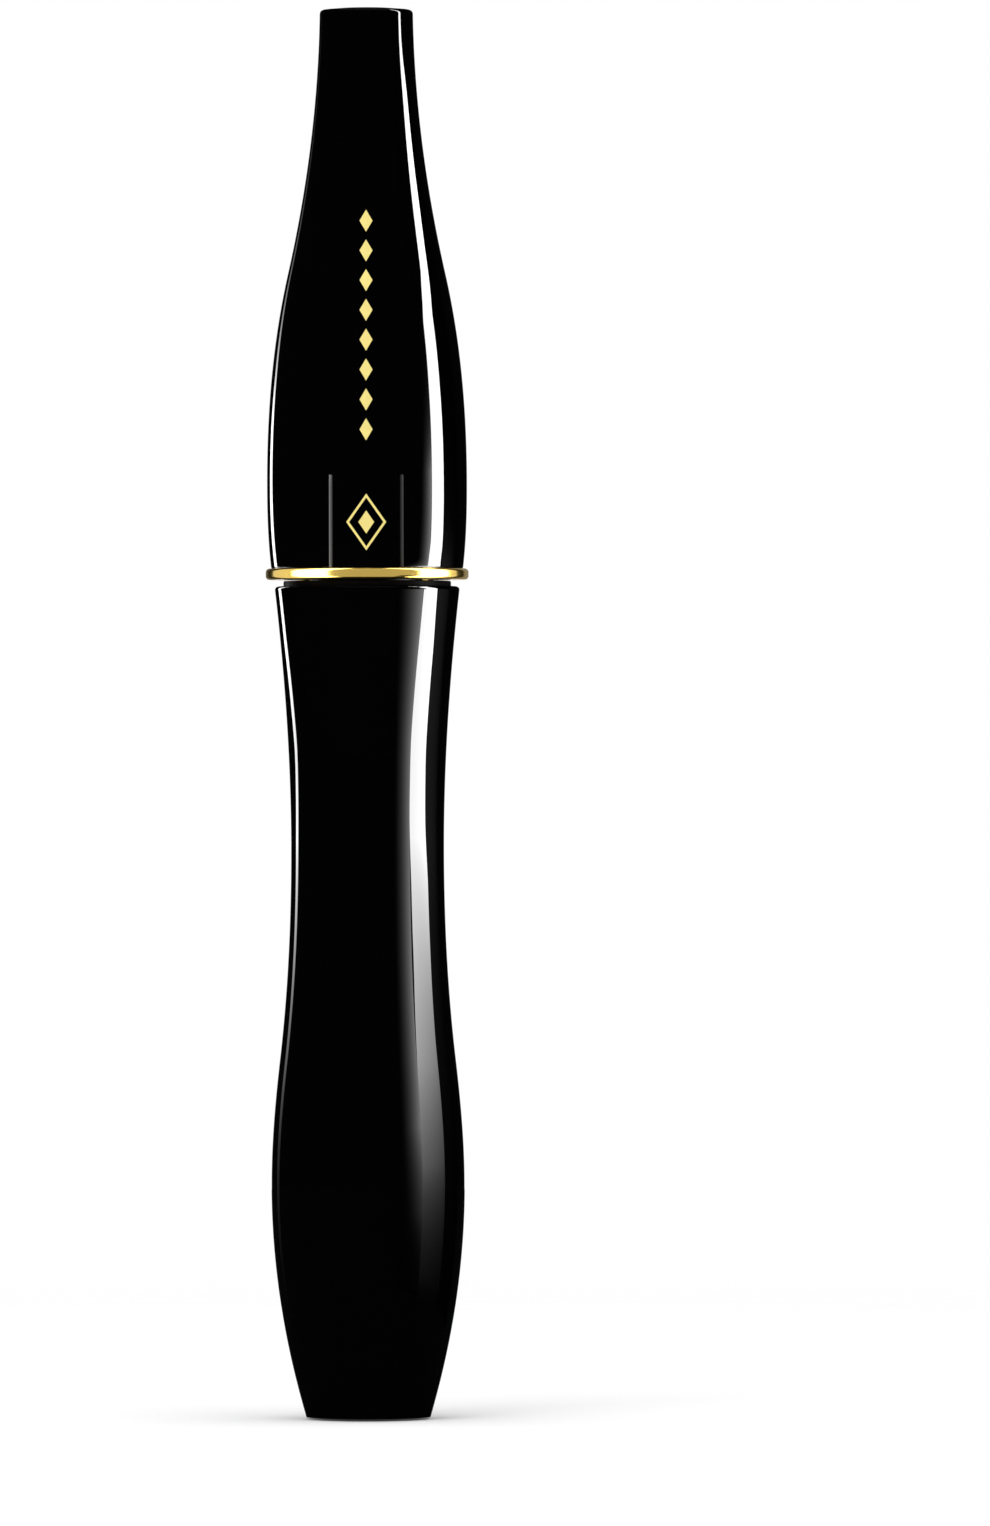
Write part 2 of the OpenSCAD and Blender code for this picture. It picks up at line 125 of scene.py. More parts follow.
class MascaraBottle(bpy.types.PropertyGroup):
    foot_r: size("Foot radius", "Radius where the outline meets the foot", 5.89)
    foot_flare: number("Foot flare", "Widening just above the foot", 0.297)
    foot_round: size("Foot round", "Round along the foot's edge", 0.35)
    recess_r: size("Recess radius", "Radius of the shallow recess under the foot", 4.2)
    recess_d: size("Recess depth", "Depth of that recess", 0.35)
    belly_z: size("Belly height", "Height of the bottle's widest place", 22.5)
    belly_r: size("Belly radius", "Radius at the belly", 9.25)
    flank_z: size("Flank height", "Height where the outline turns hollow", 34.4)
    flank_r: size("Flank radius", "Radius at the flank", 8.43)
    flank_slope: number("Flank slope", "Slope of the flank", -0.117)
    waist_z: size("Waist height", "Height of the bottle's narrowest place", 54.6)
    waist_r: size("Waist radius", "Radius at the waist", 7.33)
    mouth_r: size("Rim radius", "Radius at the rim", 8.89)
    mouth_flare: number("Rim flare", "Widening at the rim", 0.114)
    rim_round: size("Rim round", "Round along the rim's edge", 0.35)
    floor: size("Sleeve floor", "Floor of the sleeve under the vial", 1.4)
    seat: size("Flange seat", "Depth of the seat for the vial's flange", 0.6)
    proud: size("Flange height", "Height of the flange above the rim", 0.5)
    vial_r: size("Vial radius", "Outer radius of the vial", 6.1)
    vial_wall: size("Vial wall", "Wall of the vial", 0.9)
    vial_corner: size("Vial corner", "Round at the vial's bottom", 3)
    neck_r: size("Neck radius", "Radius of the neck without its thread", 5.3)
    neck_bore_r: size("Neck bore", "Radius of the neck's bore", 4.3)


class MascaraCap(bpy.types.PropertyGroup):
    foot_r: size("Foot radius", "Radius at the cap's lower edge", 9.2)
    foot_flare: number("Foot flare", "Widening just above the ring", 0.117)
    foot_round: size("Foot round", "Round along the lower edge", 0.12)
    belly_h: size("Belly height", "Height of the widest place above the ring", 8.1)
    belly_r: size("Belly radius", "Radius at the widest place", 9.585)
    shoulder_h: size("Shoulder height", "Height of the shoulder above the ring", 28.2)
    shoulder_r: size("Shoulder radius", "Radius at the shoulder", 7.55)
    shoulder_slope: number("Shoulder slope", "Slope of the shoulder", -0.227)
    top_r: size("Top radius", "Radius at the cap's top", 4.46)
    top_slope: number("Top slope", "Slope of the outline at the top", -0.013)
    top_round: size("Top round", "Round along the top edge", 0.4)
    crown: size("Crown", "Height of the crown of the cap's end", 0.12)
    flat_r: size("End flat", "Radius of the flat in the middle of the end", 2.6)
    wall: size("Wall", "Wall of the shell", 1.1)
    end: size("End", "Thickness of the closed end", 1.6)
    seat_r: size("Seat radius", "Bore that takes the ring's skirt", 8.06)
    panel_w: size("Panel width", "Width of the shallow front panel", 6.9)
    panel_h: size("Panel height", "Height of the panel above the ring", 8.8)
    panel_d: size("Panel depth", "Depth of the panel", 0.3)
    panel_fade: size("Panel fade", "Height over which its floor runs out", 1.1)


class MascaraBrush(bpy.types.PropertyGroup):
    rod_r: size("Rod radius", "Radius of the rod", 1.9)
    rod_tip_r: size("Rod tip radius", "Radius of the rod's end", 1.2)
    rod_taper: size("Rod taper", "Height of the bullet-shaped taper", 6)
    rod_tip_round: size("Rod tip round", "Round at the rod's end", 0.3)
    wire_r: size("Wire radius", "Radius of one wire", 0.27)
    wire_off: size("Wire offset", "Distance of each wire from the axis", 0.33)
    pitch: size("Twist pitch", "Height of one full twist", 2.84)
    tip_bare: size("Bare tip", "Bare wire between the bend and the bristles", 0.25)
    end_r: size("Brush radius", "Radius of the brush at its ends", 3.35)
    mid_r: size("Brush middle", "Radius of the brush at its middle", 2.95)
    tip_r: size("Brush tip", "Radius of the first bristles at the tip", 2.2)
    nose: size("Brush nose", "Length over which the tip widens", 3)
    sweep: number("Sweep", "Lean of the rod-end bristles towards the tip", 0.22)
    rows: count("Rows", "Rows of bristles along the brush", 1400)
    hair_r: size("Bristle radius", "Radius of one bristle", 0.045)


class MascaraFinish(bpy.types.PropertyGroup):
    shell: colour("Shell", "Gloss black of sleeve and cap", (0.0005, 0.0005, 0.0006))
    # The panel walls' pale grey is a painted glint laid over their black
    wall: colour("Panel wall", "Unpolished black of the panel's walls", (0.19, 0.19, 0.19))
    rod: colour("Rod", "Gloss black of the rod", (0.0015, 0.0015, 0.0018))
    satin: colour("Satin", "Satin black of vial and inner cap", (0.004, 0.004, 0.0045))
    gold: colour("Gold", "Polished gold of the ring", (0.98, 0.68, 0.16))
    foil: colour("Foil", "Pale gold of the foil ornament", (1.0, 0.84, 0.27))
    bristle: colour("Bristle", "Black of the bristles", (0.008, 0.008, 0.009))
    wire: colour("Wire", "Dark coating of the wire", (0.05, 0.05, 0.055))
    wiper: colour("Wiper", "Milky plastic of the wiper", (0.62, 0.62, 0.6))
    steel: colour("Steel", "Turned steel of the weight", (0.56, 0.57, 0.58))


GROUPS = {
    "mascara_bottle": MascaraBottle,
    "mascara_cap": MascaraCap,
    "mascara_brush": MascaraBrush,
    "mascara_finish": MascaraFinish,
}


# ---- outlines ----

def radius_at(stations, z):
    """Radius at height z on the cubic through stations of (height, radius, slope)."""
    for a, b in zip(stations, stations[1:]):
        if z <= b[0] or b is stations[-1]:
            break
    h = b[0] - a[0]
    t = (z - a[0]) / h
    s = 1 - t
    return ((1 + 2 * t) * s * s * a[1] + t * s * s * h * a[2]
            + t * t * (3 - 2 * t) * b[1] - t * t * s * h * b[2])


def curved(stations, z0, z1, steps, inset=0.0):
    """Outline points along the stations' curve from height z0 to z1, moved in by inset.

    A point close to each end keeps the rounds there from bending the shading of the curve.
    """
    hold = math.copysign(0.04 * MM, z1 - z0)
    heights = [z0 + (z1 - z0) * i / steps for i in range(steps + 1)]
    heights.insert(1, z0 + hold)
    heights.insert(-1, z1 - hold)
    return [(radius_at(stations, z) - inset, z) for z in heights]


def arc(x, z, r, start, end, steps=8):
    """Outline points on an arc about (x, z), from one angle to another in degrees."""
    angles = [math.radians(start + (end - start) * i / steps) for i in range(steps + 1)]
    return [(x + r * math.cos(a), z + r * math.sin(a)) for a in angles]


def bottle_stations(b):
    return [
        (0, b.foot_r, b.foot_flare),
        (b.belly_z, b.belly_r, 0),
        (b.flank_z, b.flank_r, b.flank_slope),
        (b.waist_z, b.waist_r, 0),
        (RIM_Z, b.mouth_r, b.mouth_flare),
    ]


def cap_stations(c):
    return [
        (CAP_Z, c.foot_r, c.foot_flare),
        (CAP_Z + c.belly_h, c.belly_r, 0),
        (CAP_Z + c.shoulder_h, c.shoulder_r, c.shoulder_slope),
        (CAP_TOP, c.top_r, c.top_slope),
    ]


# ---- modelling helpers ----

def deselect():
    if bpy.context.mode != "OBJECT":
        bpy.ops.object.mode_set(mode="OBJECT")
    bpy.ops.object.select_all(action="DESELECT")


def edit_all():
    """Into edit mode with the whole mesh selected."""
    bpy.ops.object.mode_set(mode="EDIT")
    bpy.ops.mesh.select_all(action="SELECT")


def named(name):
    """The object just added, under its name."""
    piece = bpy.context.object
    piece.name = piece.data.name = name
    return piece


def start_outline(name, points):
    """A new object in edit mode that holds the outline, drawn by extruding one point in XZ."""
    deselect()
    bpy.ops.mesh.primitive_circle_add(vertices=3, radius=MM)
    piece = named(name)
    edit_all()
    bpy.ops.mesh.merge(type="CENTER")
    bpy.ops.transform.translate(value=(points[0][0], 0, points[0][1]))
    for here, there in zip(points, points[1:]):
        step = (there[0] - here[0], 0, there[1] - here[1])
        bpy.ops.mesh.extrude_region_move(TRANSFORM_OT_translate={"value": step})
    return piece


def finish_mesh():
    """Leaves the active mesh in object mode, welded, smooth and with its faces turned outwards."""
    edit_all()
    bpy.ops.mesh.remove_doubles(threshold=WELD)
    bpy.ops.mesh.normals_make_consistent(inside=False)
    bpy.ops.object.mode_set(mode="OBJECT")
    bpy.ops.object.shade_smooth_by_angle(angle=SHARP)


def turned(name, points, steps=192):
    """A solid of revolution about the tube's axis."""
    piece = start_outline(name, points)
    edit_all()
    bpy.ops.mesh.spin(steps=steps, angle=TAU, center=(0, 0, 0), axis=(0, 0, 1))
    finish_mesh()
    return piece


def modify(kind, **values):
    """Adds a modifier with its settings to the active object and applies it."""
    bpy.ops.object.modifier_add(type=kind)
    modifier = bpy.context.object.modifiers[-1]
    for name, value in values.items():
        setattr(modifier, name, value)
    bpy.ops.object.modifier_apply(modifier=modifier.name)


def thread(name, root_r, crest_r, z0):
    """A helical ridge that rises from root_r to crest_r and sinks back at both of its ends."""
    sunk = math.copysign(0.12 * MM, crest_r - root_r)
    root = root_r - sunk
    foot, land = THREAD_WIDTH / 2, THREAD_WIDTH / 7
    profile = [
        (root, z0 - foot), (crest_r, z0 - land), (crest_r, z0 + land),
        (root, z0 + foot), (root, z0 - foot),
    ]
    piece = start_outline(name, profile)
    edit_all()
    bpy.ops.mesh.remove_doubles(threshold=WELD)
    bpy.ops.object.mode_set(mode="OBJECT")
    lead_in, overrun, steps = 0.07, 0.02, int(96 * THREAD_TURNS)
    rise = THREAD_LEAD * THREAD_TURNS
    modify("SCREW", angle=TAU * THREAD_TURNS, screw_offset=rise, steps=steps, render_steps=steps)
    for vertex in piece.data.vertices:
        x, y, z = vertex.co
        along = (z - z0) / rise
        nearest_end = min(along, 1 - along) + overrun
        grown = max(0.0, min(1.0, nearest_end / lead_in))
        r = math.hypot(x, y)
        scale = (root + (r - root) * math.sin(grown * math.pi / 2)) / r
        vertex.co = (x * scale, y * scale, z)
    bpy.ops.object.mode_set(mode="EDIT")
    bpy.ops.mesh.select_all(action="DESELECT")
    bpy.ops.mesh.select_mode(type="EDGE")
    bpy.ops.mesh.select_non_manifold()
    bpy.ops.mesh.fill()
    bpy.ops.mesh.select_mode(type="VERT")
    finish_mesh()
    return piece


def dress(piece, body, material, slot, *nodes):
    """Gives a piece its material, rides it on its body and hides the nodes it replaces; slot is not
    used.
    """
    piece.data.materials.clear()
    piece.data.materials.append(material)
    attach(piece, body)
    if nodes:
        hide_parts(*nodes)


# ---- materials ----

def new_material(name, kind="ShaderNodeBsdfPrincipled"):
    """(material, node tree, its one shader)."""
    material = bpy.data.materials.get(name) or bpy.data.materials.new(name)
    material.use_nodes = True
    tree = material.node_tree
    tree.nodes.clear()
    shader = tree.nodes.new(kind)
    out = tree.nodes.new("ShaderNodeOutputMaterial")
    tree.links.new(shader.outputs[0], out.inputs["Surface"])
    return material, tree, shader


def settings(node, **values):
    """Sets constant values on the node's own sockets, named with _ for each space."""
    for name, value in values.items():
        node.inputs[name.replace("_", " ")].default_value = value


def add_node(tree, kind, **values):
    node = tree.nodes.new(kind)
    settings(node, **values)
    return node


def object_point(tree, scale=(1, 1, 1)):
    """The surface point in the piece's own coordinates, scaled."""
    coords = tree.nodes.new("ShaderNodeTexCoord")
    mapping = add_node(tree, "ShaderNodeMapping", Scale=scale)
    tree.links.new(coords.outputs["Object"], mapping.inputs["Vector"])
    return mapping.outputs["Vector"]


def noise(tree, scale, detail=2.0, stretch=(1, 1, 1)):
    node = add_node(tree, "ShaderNodeTexNoise", Scale=scale, Detail=detail)
    tree.links.new(object_point(tree, stretch), node.inputs["Vector"])
    return node.outputs["Fac"]


def smooth_range(tree, value, start, end, low_value, high_value, curve="SMOOTHSTEP"):
    """value mapped from start..end onto low_value..high_value."""
    node = add_node(
        tree, "ShaderNodeMapRange",
        From_Min=start, From_Max=end, To_Min=low_value, To_Max=high_value,
    )
    node.interpolation_type = curve
    tree.links.new(value, node.inputs["Value"])
    return node.outputs["Result"]


def between(tree, value, low_value, high_value):
    """value, from 0 to 1, mapped evenly onto a narrower range."""
    return smooth_range(tree, value, 0.0, 1.0, low_value, high_value, "LINEAR")


def parts(tree, vector):
    """The X, Y and Z outputs of a vector."""
    split = tree.nodes.new("ShaderNodeSeparateXYZ")
    tree.links.new(vector, split.inputs[0])
    return split.outputs


def calc(tree, operation, *values):
    """One sum on numbers or sockets."""
    node = tree.nodes.new("ShaderNodeMath")
    node.operation = operation
    for socket, value in zip(node.inputs, values):
        if isinstance(value, (int, float)):
            socket.default_value = value
        else:
            tree.links.new(value, socket)
    return node.outputs[0]


def tinted(tree, value, dark, light):
    node = tree.nodes.new("ShaderNodeMix")
    node.data_type = "RGBA"
    settings(node, A=(*dark, 1), B=(*light, 1))
    tree.links.new(value, node.inputs["Factor"])
    return node.outputs["Result"]


def bump(tree, shader, height, distance, strength):
    node = add_node(tree, "ShaderNodeBump", Strength=strength, Distance=distance)
    tree.links.new(height, node.inputs["Height"])
    tree.links.new(node.outputs["Normal"], shader.inputs["Normal"])


def shade(rgb, factor):
    return tuple(min(1.0, c * factor) for c in rgb)


def gloss_black(name, rgb, roughness=(0.012, 0.03)):
    """Lacquered black plastic: a clear coat over black, with the faint waviness of moulding."""
    material, tree, shader = new_material(name)
    mottled = tinted(tree, noise(tree, 260, 3), shade(rgb, 0.8), shade(rgb, 1.3))
    tree.links.new(mottled, shader.inputs["Base Color"])
    tree.links.new(between(tree, noise(tree, 900, 4), *roughness), shader.inputs["Roughness"])
    settings(shader, IOR=1.46, Coat_Weight=1.0, Coat_Roughness=0.01, Coat_IOR=1.48)
    bump(tree, shader, noise(tree, 120, 1), 0.02 * MM, 0.05)
    return material


def black_with_painted_glint(name, rgb, glint_rgb, limit):
    """The same black, rougher where the mould was left unpolished along the walls of the panel,
    with a painted glint there in its colour.

    It is palest at the walls, which stand at x = limit on either side, more so on the left as a
    painted highlight, and polished and black again further in.
    """
    material, tree, shader = new_material(name)
    polished_from, right_glint_share = 0.34 * MM, 0.3
    # The pale share is a painted glint along both walls, paler on the left; only the roughness is
    # the walls' own finish
    across = parts(tree, object_point(tree))["X"]
    inward = calc(tree, "SUBTRACT", limit, calc(tree, "ABSOLUTE", across))
    unpolished_and_glint = smooth_range(tree, inward, 0.0, polished_from, 1.0, 0.0)
    side = smooth_range(tree, across, -limit, limit, 1.0, right_glint_share)
    pale = calc(tree, "MULTIPLY", unpolished_and_glint, side)
    tree.links.new(tinted(tree, pale, rgb, glint_rgb), shader.inputs["Base Color"])
    tree.links.new(between(tree, unpolished_and_glint, 0.03, 0.3), shader.inputs["Roughness"])
    return material


def grained(name, rgb, grain, tones, roughness, stretch=(1, 1, 1), relief=None, **constants):
    """A material whose colour, roughness and relief follow one grain.

    grain is the (scale, detail) of its noise, tones the two factors on rgb between which the
    colour varies, relief a (distance, strength).
    """
    material, tree, shader = new_material(name)
    grain = noise(tree, *grain, stretch)
    dark, light = (shade(rgb, tone) for tone in tones)
    tree.links.new(tinted(tree, grain, dark, light), shader.inputs["Base Color"])
    tree.links.new(between(tree, grain, *roughness), shader.inputs["Roughness"])
    settings(shader, **constants)
    if relief:
        bump(tree, shader, grain, *relief)
    return material


def satin_black(name, rgb, sheen=0.4):
    """Moulded satin plastic with a fine grain."""
    return grained(name, rgb, (5200, 4), (0.7, 1.6), (0.32, 0.46),
                   relief=(0.012 * MM, 0.5), Specular_IOR_Level=sheen)


def polished_gold(name, rgb):
    """Bright anodised metal with hair-fine turning marks round the axis."""
    return grained(name, rgb, (700, 3), (0.92, 1), (0.13, 0.18), stretch=(1, 1, 60), Metallic=1.0)


def foil_gold(name, rgb):
    """Hot-stamped foil: pale gold with a slight grain."""
    return grained(name, rgb, (1500, 3), (0.85, 1), (0.25, 0.4), Metallic=0.1)


def coated_wire(name, rgb):
    """Dark coated steel wire with drawing marks."""
    return grained(name, rgb, (3000, 3), (0.6, 1.5), (0.18, 0.34),
                   stretch=(1, 1, 0.15), Metallic=0.8)


def nylon_black(name, rgb):
    """Black nylon filament, a little lighter here and there along each bristle."""
    return grained(name, rgb, (1800, 2), (0.6, 2.2), (0.28, 0.45))


def milky_plastic(name, rgb):
    """Soft translucent plastic of the wiper, a little darker here and there."""
    depth = (0.6 * MM, 0.6 * MM, 0.5 * MM)
    return grained(name, rgb, (900, 4), (0.7, 1), (0.3, 0.5),
                   Subsurface_Weight=0.25, Subsurface_Radius=depth)


def dark_rubber(name, rgb):
    """Matt rubber with a coarse grain."""
    return grained(name, rgb, (7000, 5), (0.7, 1.6), (0.6, 0.85), relief=(0.02 * MM, 0.6))


def turned_steel(name, rgb):
    """Machined steel with rings from the lathe."""
    return grained(name, rgb, (500, 2), (0.75, 1.1), (0.2, 0.4),
                   stretch=(0.05, 0.05, 40), relief=(0.01 * MM, 0.4), Metallic=1.0)


# ---- operators, one for each piece or group of like pieces ----

class MASCARA_OT_sleeve(bpy.types.Operator):
    """Turn the glossy outer sleeve with its belly, waist, foot recess and vial bore"""
    bl_idname = "mascara.sleeve"
    bl_label = "Bottle sleeve"
    OUTLINE_STEPS = 110

    def execute(self, context):
        b = context.scene.mascara_bottle
        stations = bottle_stations(b)
        bore = b.vial_r + VIAL_GAP
        seat_z, seat_r = RIM_Z - b.seat, FLANGE_R + FLANGE_GAP
        foot_x = radius_at(stations, b.foot_round) - b.foot_round
        rim_z = RIM_Z - b.rim_round
        rim_x = radius_at(stations, rim_z) - b.rim_round
        outline = [(0, b.recess_d), (b.recess_r, b.recess_d), (b.recess_r, 0)]
        outline += arc(foot_x, b.foot_round, b.foot_round, -90, 0)
        outline += curved(stations, b.foot_round, rim_z, self.OUTLINE_STEPS)[1:-1]
        outline += arc(rim_x, rim_z, b.rim_round, 0, 90)
        outline += [(seat_r, RIM_Z), (seat_r, seat_z), (bore, seat_z)]
        outline += arc(bore - b.vial_corner, b.floor + b.vial_corner, b.vial_corner, 0, -90)
        outline += [(0, b.floor)]
        piece = turned("sleeve_shell", outline)
        material = gloss_black("gloss_shell", context.scene.mascara_finish.shell)
        dress(piece, "bottle", material, "gloss_shell", "bottle_sleeve")
        return {"FINISHED"}


class MASCARA_OT_vial(bpy.types.Operator):
    """Turn the inner vial and wind the right-hand thread onto its neck"""
    bl_idname = "mascara.vial"
    bl_label = "Inner vial"

    def execute(self, context):
        b = context.scene.mascara_bottle
        flange_z, flange_top = RIM_Z - b.seat, RIM_Z + b.proud
        inner = b.vial_r - b.vial_wall
        corner = b.vial_corner - b.vial_wall
        edge, edge_steps = 0.12 * MM, 4
        outline = [(0, VIAL_Z)]
        outline += arc(b.vial_r - b.vial_corner, VIAL_Z + b.vial_corner, b.vial_corner, -90, 0)
        outline += [(b.vial_r, flange_z), (FLANGE_R, flange_z)]
        outline += arc(FLANGE_R - edge, flange_top - edge, edge, 0, 90, edge_steps)
        outline += [(b.neck_r, flange_top)]
        outline += arc(b.neck_r - edge, NECK_TOP - edge, edge, 0, 90, edge_steps)
        outline += [(b.neck_bore_r, NECK_TOP), (b.neck_bore_r, flange_z)]
        outline += [(inner, flange_z - inner + b.neck_bore_r)]
        outline += arc(inner - corner, VIAL_Z + b.vial_wall + corner, corner, 0, -90)
        outline += [(0, VIAL_Z + b.vial_wall)]
        piece = turned("vial_body", outline, 128)
        satin = context.scene.mascara_finish.satin
        material = satin_black("satin_plastic", satin)
        dress(piece, "bottle", material, "satin_plastic", "inner_vial")
        # The flange takes a copy of the satin with almost no sheen, as painted shade from the
        # collar above it
        piece.data.materials.append(satin_black("flange_painted_shade", satin, sheen=0.02))
        for face in piece.data.polygons:
            x, y, z = face.center
            if flange_z - WELD < z < flange_top + WELD and math.hypot(x, y) > b.vial_r:
                face.material_index = 1
        thread_z = flange_top + 3.1 * MM
        ridge = thread("neck_thread", b.neck_r, b.neck_r + THREAD_DEPTH, thread_z)
        dress(ridge, "bottle", material, "satin_plastic")
        return {"FINISHED"}


class MASCARA_OT_ring(bpy.types.Operator):
    """Turn the gold collar ring with its rounded band and the skirt that plugs into the cap"""
    bl_idname = "mascara.ring"
    bl_label = "Collar ring"

    def execute(self, context):
        edge, edge_steps = 0.36 * MM, 12
        skirt, inside, hole = 8.03 * MM, 7.58 * MM, 6.83 * MM
        outline = [(hole, CAP_Z), (hole, RING_Z)]
        outline += arc(RING_R - edge, RING_Z + edge, edge, -90, 0, edge_steps)
        outline += arc(RING_R - edge, CAP_Z - edge, edge, 0, 90, edge_steps)
        outline += [(skirt, CAP_Z), (skirt, SKIRT_TOP), (inside, SKIRT_TOP), (inside, CAP_Z)]
        outline += [(hole, CAP_Z)]
        piece = turned("gold_ring", outline, 256)
        material = polished_gold("gold_metal", context.scene.mascara_finish.gold)
        dress(piece, "cap", material, "gold_metal", "collar_ring")
        piece.visible_glossy = False
        bpy.data.collections["gilded"].objects.link(piece)
        unlit = bpy.data.collections["beyond_cards"]
        unlit.objects.link(piece)
        unlit.collection_objects[0].light_linking.link_state = "EXCLUDE"
        return {"FINISHED"}


class MASCARA_OT_cap(bpy.types.Operator):
    """Turn the glossy cap shell and press the shallow panel into its front"""
    bl_idname = "mascara.cap"
    bl_label = "Cap shell"
    COLUMNS = 320       # of vertices round the cap
    PANEL_STEPS = 24    # along the outside beside the panel
    UPPER_STEPS = 66    # along the outside above it
    INSIDE_STEPS = 30
    # Profile of a panel wall: distance inwards from the wall in mm and share of the depth
    WALL = (
        (-0.05, 0.0), (-0.02, 0.015), (0.0, 0.06), (0.03, 0.33), (0.06, 0.6), (0.09, 0.82),
        (0.15, 0.93), (0.22, 0.985), (0.3, 1.0),
    )

    def execute(self, context):
        c = context.scene.mascara_cap
        stations = cap_stations(c)
        foot_z = CAP_Z + c.foot_round
        edge_z = CAP_TOP - c.crown - c.top_round
        foot_x = radius_at(stations, foot_z) - c.foot_round
        edge_x = radius_at(stations, edge_z) - c.top_round
        crown = [(edge_x * (1 - t) + c.flat_r * t, CAP_TOP - c.crown * (1 - t) ** 2)
                 for t in (0.25, 0.5, 0.75, 1)]
        panel_top = CAP_Z + c.panel_h
        roof = CAP_TOP - c.end
        outline = arc(foot_x, foot_z, c.foot_round, -90, 0, 4)
        outline += curved(stations, foot_z, panel_top, self.PANEL_STEPS)[1:]
        outline += curved(stations, panel_top, edge_z, self.UPPER_STEPS)[1:-1]
        outline += arc(edge_x, edge_z, c.top_round, 0, 90) + crown + [(0, CAP_TOP), (0, roof)]
        outline += curved(stations, roof, SKIRT_TOP, self.INSIDE_STEPS, c.wall)
        outline += [(c.seat_r, SKIRT_TOP), (c.seat_r, CAP_Z), (foot_x, CAP_Z)]
        piece = turned("cap_shell_gloss", outline, self.COLUMNS)
        finish = context.scene.mascara_finish
        dress(piece, "cap", gloss_black("gloss_shell", finish.shell), "gloss_shell", "cap_shell")
        column = TAU / self.COLUMNS
        half = round(math.asin(c.panel_w / 2 / c.belly_r) / column)
        wall_x = c.belly_r * math.sin(half * column)
        # The panel's walls take a second material, black with a painted glint
        piece.data.materials.append(black_with_painted_glint("panel_wall_painted_glint", finish.shell, finish.wall, wall_x))
        self.press_panel(piece, c, stations, column, half, wall_x)
        return {"FINISHED"}

    def press_panel(self, piece, c, stations, column, half, wall_x):
        """Sinks the outer skin within the panel, with a rounded wall along both sides.

        The columns of vertices nearest to each wall, which stands half columns off the middle
        at x = wall_x, are drawn together into its profile.
        """
        top = CAP_Z + c.panel_h
        skin, soft_edge, wall_reach = 0.2 * MM, math.radians(60), 0.36 * MM
        edge = len(self.WALL) // 2
        for vertex in piece.data.vertices:
            x, y, z = vertex.co
            r = math.hypot(x, y)
            if y > 0 or z > top or r < radius_at(stations, max(z, CAP_Z)) - skin:
                continue
            a = math.atan2(x, -y)
            place = half - round(abs(a) / column) + edge
            inward, share = self.WALL[max(0, min(len(self.WALL) - 1, place))]
            wall_a = math.asin(wall_x / r)
            if 0 <= place < len(self.WALL):
                a = math.copysign(wall_a - inward * MM / r, a)
            elif place >= len(self.WALL):
                a *= wall_a / (half * column)
            run_out = min(1.0, (top - z) / c.panel_fade)
            depth = c.panel_d * share * run_out * run_out * (3 - 2 * run_out)
            vertex.co = ((r - depth) * math.sin(a), -(r - depth) * math.cos(a), z)
        deselect()
        piece.select_set(True)
        bpy.context.view_layer.objects.active = piece
        bpy.ops.object.shade_smooth_by_angle(angle=soft_edge)
        # Faces along both walls take that material with its painted glint
        for face in piece.data.polygons:
            x, y, z = face.center
            on_skin = math.hypot(x, y) > radius_at(stations, max(z, CAP_Z)) - skin - c.panel_d
            if y < 0 and CAP_Z < z < top and on_skin and abs(abs(x) - wall_x) < wall_reach:
                face.material_index = 1


class MASCARA_OT_inner_cap(bpy.types.Operator):
    """Finish the inner cap, washer, wiper and weight, and wind the inner cap's thread"""
    bl_idname = "mascara.inner_cap"
    bl_label = "Inner pieces"

    def execute(self, context):
        finish = context.scene.mascara_finish
        b = context.scene.mascara_bottle
        finishes = {
            "inner_cap": satin_black("satin_plastic", finish.satin),
            "seal_washer": dark_rubber("seal_rubber", finish.satin),
            "wiper": milky_plastic("wiper_plastic", finish.wiper),
            "cap_weight": turned_steel("weight_steel", finish.steel),
        }
        for node, material in finishes.items():
            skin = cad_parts[node].data
            skin.materials.clear()
            skin.materials.append(material)
        bore = b.neck_r + THREAD_ROOM
        ridge = thread("cap_thread", bore, bore - THREAD_DEPTH, LINER_Z + 2.8 * MM)
        dress(ridge, "cap", finishes["inner_cap"], "satin_plastic")
        return {"FINISHED"}


class MASCARA_OT_rod(bpy.types.Operator):
    """Turn the gloss black rod with its bullet-shaped end"""
    bl_idname = "mascara.rod"
    bl_label = "Rod"

    def execute(self, context):
        w = context.scene.mascara_brush
        hole = w.wire_off + w.wire_r + WIRE_GAP
        hole_top = WIRE_TOP + WIRE_GAP
        taper_z = ROD_Z + w.rod_tip_round
        taper_h = w.rod_taper - w.rod_tip_round
        outline = [(0, hole_top), (hole, hole_top), (hole, ROD_Z)]
        outline += arc(w.rod_tip_r - w.rod_tip_round, taper_z, w.rod_tip_round, -90, 0)
        steps = 16
        for i in range(1, steps + 1):
            widened = math.sin(i / steps * math.pi / 2)
            r = w.rod_tip_r + (w.rod_r - w.rod_tip_r) * widened
            outline.append((r, taper_z + taper_h * i / steps))
        chamfer_h, chamfer_w = 0.3 * MM, 0.15 * MM
        outline += [(w.rod_r, ROD_TOP - chamfer_h), (w.rod_r - chamfer_w, ROD_TOP), (0, ROD_TOP)]
        piece = turned("rod_gloss", outline, 96)
        material = gloss_black("gloss_rod", context.scene.mascara_finish.rod, roughness=(0.05, 0.1))
        dress(piece, "cap", material, "gloss_rod", "wand_rod")
        return {"FINISHED"}


